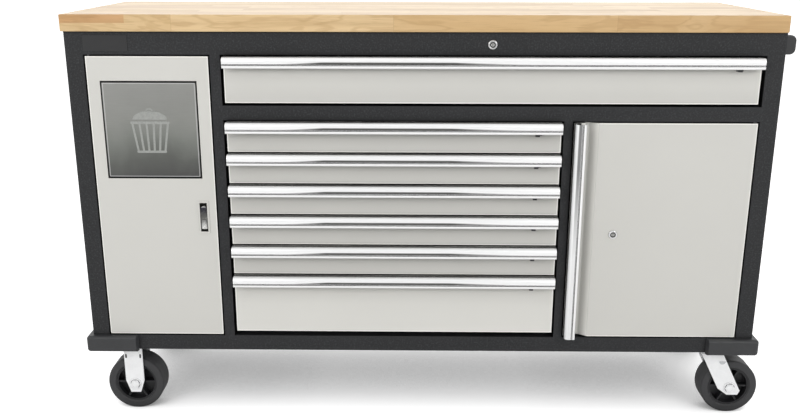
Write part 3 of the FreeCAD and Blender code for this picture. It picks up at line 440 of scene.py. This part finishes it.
def lock_face(name, plug):
    """A key plug: a dark ring round a pale face, with its keyway painted dark as shade."""
    metal = Shader(name)
    low, high = outline(plug)
    middle = (low + high) / 2.0
    x, _, z = metal.split()
    across = metal.math("SUBTRACT", x, middle.x)
    over = metal.math("SUBTRACT", z, middle.z)
    away = metal.math("SQRT", metal.math("ADD", metal.product(across, across),
                                         metal.product(over, over)))
    ring = metal.spread(away, 0.0, 1.0, 0.0032, 0.0038)
    # The keyway is painted dark, as its shade
    slot = metal.product(metal.math("LESS_THAN", metal.math("ABSOLUTE", across), 0.0009),
                         metal.math("LESS_THAN", metal.math("ABSOLUTE", over), 0.0026))
    wear = metal.noise(300.0, detail=3.0)
    tone = metal.mix(metal.spread(wear, 0.0, 1.0), (0.50, 0.50, 0.48), (0.62, 0.62, 0.60))
    tone = metal.mix(metal.math("MAXIMUM", ring, slot), tone, (0.035, 0.037, 0.034))
    return metal.finish(tone, metal.spread(wear, 0.3, 0.45), metallic=0.3)


def printed_sign(name, colour):
    """Pale print on the flap, a little worn."""
    ink = Shader(name)
    wear = ink.noise(220.0, detail=4.0, rough=0.65)
    tone = ink.mix(ink.spread(wear, 0.0, 1.0, 0.3, 0.6), shade(colour, 0.86), colour)
    return ink.finish(tone, ink.spread(wear, 0.4, 0.52), metallic=0.2)


def plated(name, colour, rough_low, rough_high, metallic=1.0):
    """Chrome or zinc plate with a cloudy sheen and fine scratches, and painted shade in its
    creases.
    """
    metal = Shader(name)
    cloud = metal.noise(60.0, detail=5.0, distortion=0.4)
    scratch = metal.noise(900.0, detail=4.0, source=metal.stretch((1.0, 1.0, 0.1)))
    tone = metal.vary(cloud, colour, 0.96, 1.03)
    tone = metal.with_painted_shade(tone, shade(colour, 0.06), 0.004, 0.25, 0.7)
    sheen = metal.math("ADD", metal.product(cloud, 0.6), metal.product(scratch, 0.4))
    rough = metal.spread(sheen, rough_low, rough_high)
    return metal.finish(tone, rough, metal.bump(scratch, 0.00001, 0.3), metallic=metallic)


def moulded_plastic(name, colour, rough_low, rough_high, grain=0.00006):
    """Moulded plastic with a fine spark-eroded grain."""
    plastic = Shader(name)
    wide = plastic.noise(12.0, detail=3.0)
    pebble = plastic.cells(1100.0)
    tone = plastic.vary(wide, colour, 0.9, 1.12)
    rough = plastic.spread(plastic.noise(80.0, detail=4.0), rough_low, rough_high)
    return plastic.finish(tone, rough, plastic.bump(pebble, grain, 0.5))


def rubber(name, colour):
    """Tyre rubber, matt, a little dusty where it rolls, with painted shade in hollows and close
    under other parts.
    """
    tread = Shader(name)
    dust = tread.noise(45.0, detail=6.0, rough=0.65)
    fine = tread.noise(1400.0, detail=2.0)
    tone = tread.mix(tread.spread(dust, 0.0, 0.5, 0.45, 0.75), colour, shade(colour, 1.5))
    tone = tread.with_painted_shade(tone, shade(colour, 0.2), 0.05, 0.35, 0.9)
    return tread.finish(tone, tread.spread(dust, 0.55, 0.78), tread.bump(fine, 0.00008, 0.4))


def stave_wood(name):
    """Light hardwood glued up from short staves that run along the worktop, oiled."""
    wood = Shader(name)
    x, y, z = wood.split()

    # Which stave a place is on: its row, its number in the row, and the reddish corner stave
    row = wood.math("FLOOR", wood.math("DIVIDE", wood.math("ADD", y, 1.0), STAVE_WIDTH))
    shift = wood.white(wood.combine(row, 3.7, 0.0))
    corner = wood.product(wood.math("GREATER_THAN", z, END_STAVE_FOOT),
                          wood.math("LESS_THAN", x, END_STAVE_RIGHT),
                          wood.math("LESS_THAN", y, at(y=-5.0).y))
    run = wood.math("ADD", wood.math("DIVIDE", wood.math("ADD", x, 2.0), STAVE_LENGTH),
                    wood.product(shift, 0.9))
    part = wood.math("FLOOR", run)
    tint = wood.white(wood.combine(row, part, wood.product(corner, 5.0)))
    second = wood.white(wood.combine(part, row, 9.1))

    # The figure, moved on from stave to stave
    offset = wood.combine(wood.product(tint, 3.0), wood.product(second, 5.0), tint)
    moved = wood.vector("ADD", wood.place, offset)
    grain = wood.noise(38.0, detail=6.0, rough=0.6, distortion=0.8,
                       source=wood.stretch((0.06, 1.0, 1.0), moved))
    pores = wood.noise(420.0, detail=4.0, rough=0.7, source=wood.stretch((0.035, 1.0, 1.0), moved))
    flame = wood.noise(7.0, detail=3.0, distortion=1.5,
                       source=wood.stretch((0.25, 1.0, 1.0), moved))
    rings = wood.math("SINE", wood.product(
        wood.math("ADD", flame, wood.product(grain, 0.25)), 60.0))

    base = wood.ramp(tint, [
        (0.0, (0.600, 0.385, 0.175)), (0.3, (0.680, 0.475, 0.235)),
        (0.65, (0.735, 0.530, 0.285)), (1.0, (0.780, 0.595, 0.345))])
    base = wood.mix(wood.product(corner, 0.75), base, (0.60, 0.315, 0.135))
    tone = wood.mix(wood.spread(grain, 0.0, 0.6, 0.4, 0.75), base, (0.45, 0.27, 0.11))
    tone = wood.mix(wood.spread(flame, 0.0, 0.3, 0.4, 0.7), tone, (0.80, 0.62, 0.37))
    tone = wood.mix(wood.spread(rings, 0.0, 0.3, 0.25, 1.0), tone, (0.42, 0.24, 0.09))
    tone = wood.mix(wood.spread(pores, 0.0, 0.5, 0.55, 0.8), tone, (0.33, 0.18, 0.07))

    # The glued joints between rows and between the staves of a row
    seam = wood.math("PINGPONG", wood.math("ADD", y, 1.0), STAVE_WIDTH / 2)
    butt = wood.math("PINGPONG", run, 0.5)
    gap = wood.math("MAXIMUM", wood.spread(seam, 1.0, 0.0, 0.0, STAVE_SEAM),
                    wood.spread(butt, 1.0, 0.0, 0.0, STAVE_BUTT))
    tone = wood.mix(wood.product(gap, 0.35), tone, (0.30, 0.16, 0.06))
    height = wood.math("SUBTRACT", wood.product(pores, 0.5), gap)
    return wood.finish(tone, wood.spread(grain, 0.36, 0.5), wood.bump(height, 0.00006, 0.35))


def front_paint(name, panel):
    """The paint of one door or drawer front."""
    label = "%s_paint" % name
    if name == "cupboard_door":
        return satin_paint(label, shade(PALE, 0.975), panel, reach=0.008, recess=UPRIGHT_RECESS)
    if name == "bin_door":
        return satin_paint(label, PALE, panel)
    stops = {"wide_drawer_tray": PAINTED_SHADE_WIDE, "drawer_6_tray": PAINTED_SHADE_DEEP}.get(name, PAINTED_SHADE_PULL)
    return satin_paint(label, PALE, panel, stops)


def dress(obj, material):
    obj.data.materials.clear()
    obj.data.materials.append(material)


finishes = {
    "frame_paint": wrinkle_paint("wrinkle_paint", DARK),
    "flap_steel": brushed_steel("brushed_steel", (0.44, 0.44, 0.43), frame["nodes"]["waste_flap"]),
    "chrome": plated("chrome_plate", grey(0.82), 0.08, 0.2),
    "zinc_steel": plated("zinc_plate", (0.97, 0.975, 0.98), 0.3, 0.42, metallic=0.15),
    "black_plastic": moulded_plastic("bumper_plastic", (0.036, 0.037, 0.039), 0.45, 0.6),
    "catch_plastic": moulded_plastic("catch_plastic", (0.018, 0.018, 0.019), 0.3, 0.45),
    "bin_plastic": moulded_plastic("bin_plastic", (0.085, 0.088, 0.092), 0.4, 0.55, 0.00012),
    "hub_plastic": moulded_plastic("hub_plastic", (0.014, 0.014, 0.016), 0.32, 0.5),
    "tyre_rubber": rubber("tyre_rubber", (0.041, 0.041, 0.043)),
    "worktop_wood": stave_wood("stave_wood"),
}

# Finishes of single pieces, which go before the finish of their slot
own_finishes = {
    "cupboard_door_pull": polished_aluminium("upright_aluminium", ALUMINIUM, 2),
    "door_pivot_pins": plated("pin_steel", grey(0.10), 0.4, 0.5),
    "bin_latch_dish": latch_plate("latch_plate", PALE, (0.022, 0.023, 0.017)),
    "bin_latch_lever": latch_steel("latch_steel", (0.82, 0.82, 0.80)),
}
for drawer, pull_top in PULL_TOPS.items():
    own_finishes["%s_pull" % drawer] = polished_aluminium(
        "%s_aluminium" % drawer, ALUMINIUM, 0, pull_top)
for lock in ("drawer_lock_plug", "cupboard_lock_plug"):
    own_finishes[lock] = lock_face("%s_steel" % lock, frame["nodes"][lock])

slot_of = {entry["node"]: entry["material_slot"] for entry in frame["record"]["subparts"]}
for name, obj in frame["nodes"].items():
    if slot_of[name] == "front_paint":
        own_finishes[name] = front_paint(name, obj)
    dress(obj, own_finishes[name] if name in own_finishes else finishes[slot_of[name]])


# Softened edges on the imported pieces

AS_PACKED = {
    "worktop", "front_frame", "side_panel_left", "side_panel_right", "back_panel", "top_deck",
    "mid_deck", "bay_walls", "base_pan", "corner_bumpers",
}
EDGE_MM = {
    "push_handle_brackets": 2.5, "waste_bin": 1.2, "bin_door": 0.9, "cupboard_door": 0.9,
    "waste_flap": 0.7, "bin_latch_dish": 0.5, "bin_latch_lever": 1.2, "rigid_casters": 0.6,
    "swivel_fork_front": 0.6, "swivel_fork_rear": 0.6, "caster_bolts": 0.6,
}
DEFAULT_EDGE_MM = 0.4


def soften(obj, width):
    """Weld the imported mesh, join its flat faces and round its sharp edges."""
    weld = obj.modifiers.new("weld", "WELD")
    weld.merge_threshold = 0.00001
    flat = obj.modifiers.new("flat", "DECIMATE")
    flat.decimate_type = "DISSOLVE"
    flat.angle_limit = math.radians(0.5)
    bevel = obj.modifiers.new("edge", "BEVEL")
    bevel.width = width
    bevel.segments = 3
    bevel.limit_method = "ANGLE"
    bevel.angle_limit = math.radians(40)
    bevel.harden_normals = False
    bevel.use_clamp_overlap = True


for name, obj in frame["nodes"].items():
    if name not in AS_PACKED and not name.startswith(("tyre_", "hub_")):
        soften(obj, EDGE_MM.get(name, DEFAULT_EDGE_MM) * MM)


# Small pieces that the CAD leaves out, all in the cabinet's own millimetres

CASTER_ROWS = (("front", 55.0), ("rear", 395.0))
RIGID_AXLE, SWIVEL_AXLE, AXLE_LEVEL = -672.0, 721.5, -101.0
FORK_FACE = 31.0  # from a wheel's middle to its fork's outer face
WASHER = [(11.2, 0.0), (14.2, 0.0), (14.2, 0.9), (13.9, 1.2), (11.2, 1.2)]
AXLE_RIM = [(6.2, 5.0), (7.8, 5.0), (7.8, 5.4), (7.4, 5.8), (6.6, 5.8), (6.2, 5.4)]
SLOT_DEPTHS = (-31.4, -30.95)  # from the middle of a row, as are the half round's
HALF_ROUND_DEPTHS = (-31.5, -30.95)
BACK_FACE = 450.0
SCREW_HEAD = [(0.0, 1.2), (1.0, 2.0), (2.6, 1.7), (3.8, 0.9), (4.2, 0.0), (0.0, 0.0)]
SCREW_PITCH = 245.0
SIGN_DEPTHS = (-0.25, 0.05)


def finish_piece(name, work, body, material, smooth=False):
    """Turn the mesh work into a piece that rides its body."""
    bmesh.ops.remove_doubles(work, verts=work.verts, dist=0.000001)
    bmesh.ops.recalc_face_normals(work, faces=work.faces)
    mesh = bpy.data.meshes.new(name)
    work.to_mesh(mesh)
    work.free()
    for face in mesh.polygons:
        face.use_smooth = smooth
    obj = bpy.data.objects.new(name, mesh)
    bpy.context.scene.collection.objects.link(obj)
    dress(obj, material)
    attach(obj, body)
    return obj


def add_prism(work, corners, y_front, y_back):
    """A flat plate with the outline of (x, z) corners between two depths."""
    front = [work.verts.new(at(x, y_front, z)) for x, z in corners]
    back = [work.verts.new(at(x, y_back, z)) for x, z in corners]
    work.faces.new(front)
    work.faces.new(back[::-1])
    for near, far, next_far, next_near in zip(
            front, back, back[1:] + back[:1], front[1:] + front[:1]):
        work.faces.new((near, far, next_far, next_near))


def add_turned(work, middle, profile, count=40):
    """A closed profile of (radius, depth) turned about a line from front to back."""
    x, y, z = middle
    rings = []
    for radius, depth in profile:
        turns = [math.tau * step / count for step in range(count)]
        rings.append([work.verts.new(at(x + radius * math.cos(turn), y + depth,
                                        z + radius * math.sin(turn))) for turn in turns])
    for ring, after in zip(rings, rings[1:] + rings[:1]):
        for step in range(count):
            other = (step + 1) % count
            work.faces.new((ring[step], ring[other], after[other], after[step]))


def arc(x, z, radius, start, end, count=8):
    """Points along an arc, from one angle to another in degrees."""
    turns = [math.radians(start + (end - start) * step / count) for step in range(count + 1)]
    return [(x + radius * math.cos(turn), z + radius * math.sin(turn)) for turn in turns]


def rounded_plate(x_low, x_high, z_low, z_high, radius):
    """A plate's outline with round corners, from its top right corner on."""
    corners = ((x_high - radius, z_high - radius), (x_low + radius, z_high - radius),
               (x_low + radius, z_low + radius), (x_high - radius, z_low + radius))
    return [point for quarter, (x, z) in enumerate(corners)
            for point in arc(x, z, radius, 90 * quarter, 90 * (quarter + 1))]


def make_flap_sign():
    """A plain sign on the flap: a ribbed dustbin under its lid."""
    work = bmesh.new()
    middle, foot, top = -583.0, 466.0, 524.0
    half_foot, half_top, slat_width = 29.0, 38.0, 4.5
    half_base, half_rim, round_corner = 32.0, 42.0, 2.0
    for share in (-1.0, -0.6, -0.2, 0.2, 0.6, 1.0):
        low, high, half = middle + share * half_foot, middle + share * half_top, slat_width / 2
        slat = [(low - half, foot), (low + half, foot), (high + half, top), (high - half, top)]
        add_prism(work, slat, *SIGN_DEPTHS)
    for half, low, high in ((half_base, foot - 5.0, foot), (half_rim, top, top + 5.5)):
        bar = rounded_plate(middle - half, middle + half, low, high, round_corner)
        add_prism(work, bar, *SIGN_DEPTHS)
    lid = [(x, top + 9.5 + (z - top) * 0.5) for x, z in arc(middle, top, 37.0, 0, 180, 24)]
    add_prism(work, lid, *SIGN_DEPTHS)
    grip = top + 27.0
    handle = arc(middle, grip, 8.0, 0, 180, 12) + arc(middle, grip, 4.5, 180, 0, 12)
    add_prism(work, handle, *SIGN_DEPTHS)
    ink = printed_sign("flap_print", (0.36, 0.37, 0.35))
    finish_piece("flap_sign", work, "waste_flap", ink)


def make_rail_plate():
    """A bare plastic plate on the top rail, at the left."""
    work = bmesh.new()
    add_prism(work, rounded_plate(-712.0, -618.0, 678.0, 711.0, 1.5), -0.8, 0.05)
    plastic = moulded_plastic("plate_plastic", (0.017, 0.017, 0.018), 0.4, 0.5, 0.00003)
    plate = finish_piece("rail_plate", work, "root", plastic)
    soften(plate, DEFAULT_EDGE_MM * MM)


def make_axle_rings():
    """A washer round each axle's head and nut, and a turned rim on their faces."""
    for end, inset in CASTER_ROWS:
        for body, x in (("root", RIGID_AXLE), ("swivel_%s" % end, SWIVEL_AXLE)):
            work = bmesh.new()
            for side in (-1.0, 1.0):
                middle = (x, inset + side * FORK_FACE, AXLE_LEVEL)
                for profile in (WASHER, AXLE_RIM):
                    turned = [(radius, side * height) for radius, height in profile]
                    add_turned(work, middle, turned)
            name = "axle_rings_%s_%s" % (body, end)
            finish_piece(name, work, body, finishes["zinc_steel"])


def make_fork_marks():
    """Pressed slots in the rigid forks, as dark plates of painted shade, and a pressed half round
    on the swivel forks.
    """
    # The dark plates are painted shade in the slots
    dark = plated("slot_steel", grey(0.07), 0.4, 0.5)
    pale = plated("mark_steel", (0.62, 0.63, 0.64), 0.35, 0.45, metallic=0.3)
    for end, inset in CASTER_ROWS:
        work = bmesh.new()
        for x in (-688.7, -655.5):
            slot = rounded_plate(x - 1.8, x + 1.8, -35.0, -25.0, 1.7)
            add_prism(work, slot, *(inset + depth for depth in SLOT_DEPTHS))
        finish_piece("fork_slots_%s" % end, work, "root", dark)
        work = bmesh.new()
        half_round = arc(699.0, -34.0, 7.5, 180, 360, 16)
        add_prism(work, half_round, *(inset + depth for depth in HALF_ROUND_DEPTHS))
        finish_piece("fork_mark_%s" % end, work, "swivel_%s" % end, pale)


def make_back_screws():
    """Round-headed screws along the rim of the back panel."""
    work = bmesh.new()
    places = [(SCREW_PITCH * step, z) for step in range(-3, 4) for z in (12.0, 707.0)]
    places += [(SCREW_PITCH * step, z) for step in (-3, 3) for z in (243.0, 476.0)]
    for x, z in places:
        add_turned(work, (x, BACK_FACE, z), SCREW_HEAD, 24)
    finish_piece("back_screws", work, "root", finishes["zinc_steel"], smooth=True)


make_flap_sign()
make_rail_plate()
make_axle_rings()
make_fork_marks()
make_back_screws()


# Camera

CAMERA_PLACE = (-0.0369, -2.115, 1.0531)
CAMERA_YAW, CAMERA_PITCH, CAMERA_ROLL = -0.752, 16.214, 0.054
SENSOR_WIDTH, LENS = 36.0, 40.577


def aim_camera():
    """The photograph's viewpoint, solved from the cabinet's straight edges."""
    data = bpy.data.cameras.new("camera")
    camera = bpy.data.objects.new("camera", data)
    bpy.context.scene.collection.objects.link(camera)
    data.sensor_width = SENSOR_WIDTH
    data.lens = LENS
    yaw, pitch, roll = (math.radians(angle) for angle in (CAMERA_YAW, CAMERA_PITCH, CAMERA_ROLL))
    ahead = Vector((math.sin(yaw) * math.cos(pitch), math.cos(yaw) * math.cos(pitch),
                    -math.sin(pitch)))
    level = Vector((math.cos(yaw), -math.sin(yaw), 0.0))
    up = level.cross(ahead)
    right = level * math.cos(roll) + up * math.sin(roll)
    above = up * math.cos(roll) - level * math.sin(roll)
    turn = Matrix((right, above, -ahead)).transposed()
    camera.matrix_world = Matrix.Translation(CAMERA_PLACE) @ turn.to_4x4()
    bpy.context.scene.camera = camera


aim_camera()


# Studio

# Each lamp's name, place, target, size and power
LAMPS = (
    ("overhead", (0.0, -0.9, 3.2), (0.0, 0.0, 0.6), (3.6, 2.4), 16.0),
    ("front_left", (-2.6, -3.2, 2.2), (0.0, 0.0, 0.5), (1.8, 1.8), 45.0),
    ("front_right", (2.6, -3.2, 2.2), (0.0, 0.0, 0.5), (1.8, 1.8), 45.0),
)
ROOM_FOOT, ROOM_HEAD = 0.52, 0.5  # the room's light, below and overhead
ROOM_GLOW = 1.7  # what the far wall adds
FLOOR_GREY = 0.86
FLOOR_SIZE = 80.0
FLOOR_LIFT = 0.6
# The painted shadow on the floor: how far it looks, the occlusion at which it ends, and how dark it
# gets
SHADOW_REACH, SHADOW_END, SHADOW_DARK = 0.4, 0.66, 0.24


def lamp(name, place, target, size, power):
    data = bpy.data.lights.new(name, "AREA")
    data.shape = "RECTANGLE"
    data.size, data.size_y = size
    data.energy = power
    light = bpy.data.objects.new(name, data)
    light.location = place
    light.rotation_euler = (Vector(target) - Vector(place)).to_track_quat("-Z", "Y").to_euler()
    bpy.context.scene.collection.objects.link(light)


def make_world():
    """A pale room, brighter overhead and behind, which the camera sees as plain white."""
    world = bpy.data.worlds.new("room")
    bpy.context.scene.world = world
    world.use_nodes = True
    tree = world.node_tree
    tree.nodes.clear()
    ahead = add_node(tree, "TexCoord").outputs["Generated"]
    split = add_node(tree, "SeparateXYZ", vector=ahead)
    behind, up = split.outputs["Y"], split.outputs["Z"]
    level = add_smooth_range(tree, up, -0.1, 0.9, ROOM_FOOT, ROOM_HEAD)
    glow = add_math(tree, "MULTIPLY", add_smooth_range(tree, behind, 0.35, 0.9, 0.0, ROOM_GLOW),
                    add_smooth_range(tree, up, 0.75, 0.45, 0.0, 1.0))
    light = add_node(tree, "Background", color=opaque(grey(1.0)),
                     strength=add_math(tree, "ADD", level, glow))
    white = add_node(tree, "Background", color=opaque(grey(1.0)), strength=1.0)
    path = add_node(tree, "LightPath")
    seen = add_math(tree, "MAXIMUM", path.outputs["Is Camera Ray"],
                    path.outputs["Is Transmission Ray"])
    mix_shaders(tree, seen, light.outputs[0], white.outputs[0], "OutputWorld")


def make_floor():
    """A white floor that keeps the cabinet's shadow, deepened by a painted shadow where the cabinet
    hems it in; the camera sees it a little lifted.
    """
    bpy.ops.mesh.primitive_plane_add(size=FLOOR_SIZE, location=(0.0, 0.0, 0.0))
    floor = bpy.context.object
    floor.name = "floor"
    material = bpy.data.materials.new("floor_white")
    material.use_nodes = True
    tree = material.node_tree
    tree.nodes.clear()
    near = add_node(tree, "AmbientOcclusion", distance=SHADOW_REACH)
    near.samples = 16
    dim = add_smooth_range(tree, near.outputs["AO"], 0.0, SHADOW_END, SHADOW_DARK, 1.0)
    seen = add_node(tree, "AddShader")
    tree.links.new(add_node(tree, "BsdfDiffuse", color=dim).outputs[0], seen.inputs[0])
    lift = add_node(tree, "Emission", color=dim, strength=FLOOR_LIFT)
    tree.links.new(lift.outputs[0], seen.inputs[1])
    diffuse = add_node(tree, "BsdfDiffuse", color=opaque(grey(FLOOR_GREY)))
    camera_ray = add_node(tree, "LightPath").outputs["Is Camera Ray"]
    mix_shaders(tree, camera_ray, diffuse.outputs[0], seen.outputs[0], "OutputMaterial")
    floor.data.materials.append(material)


make_world()
make_floor()
for settings in LAMPS:
    lamp(*settings)
bpy.context.scene.view_settings.view_transform = "Standard"
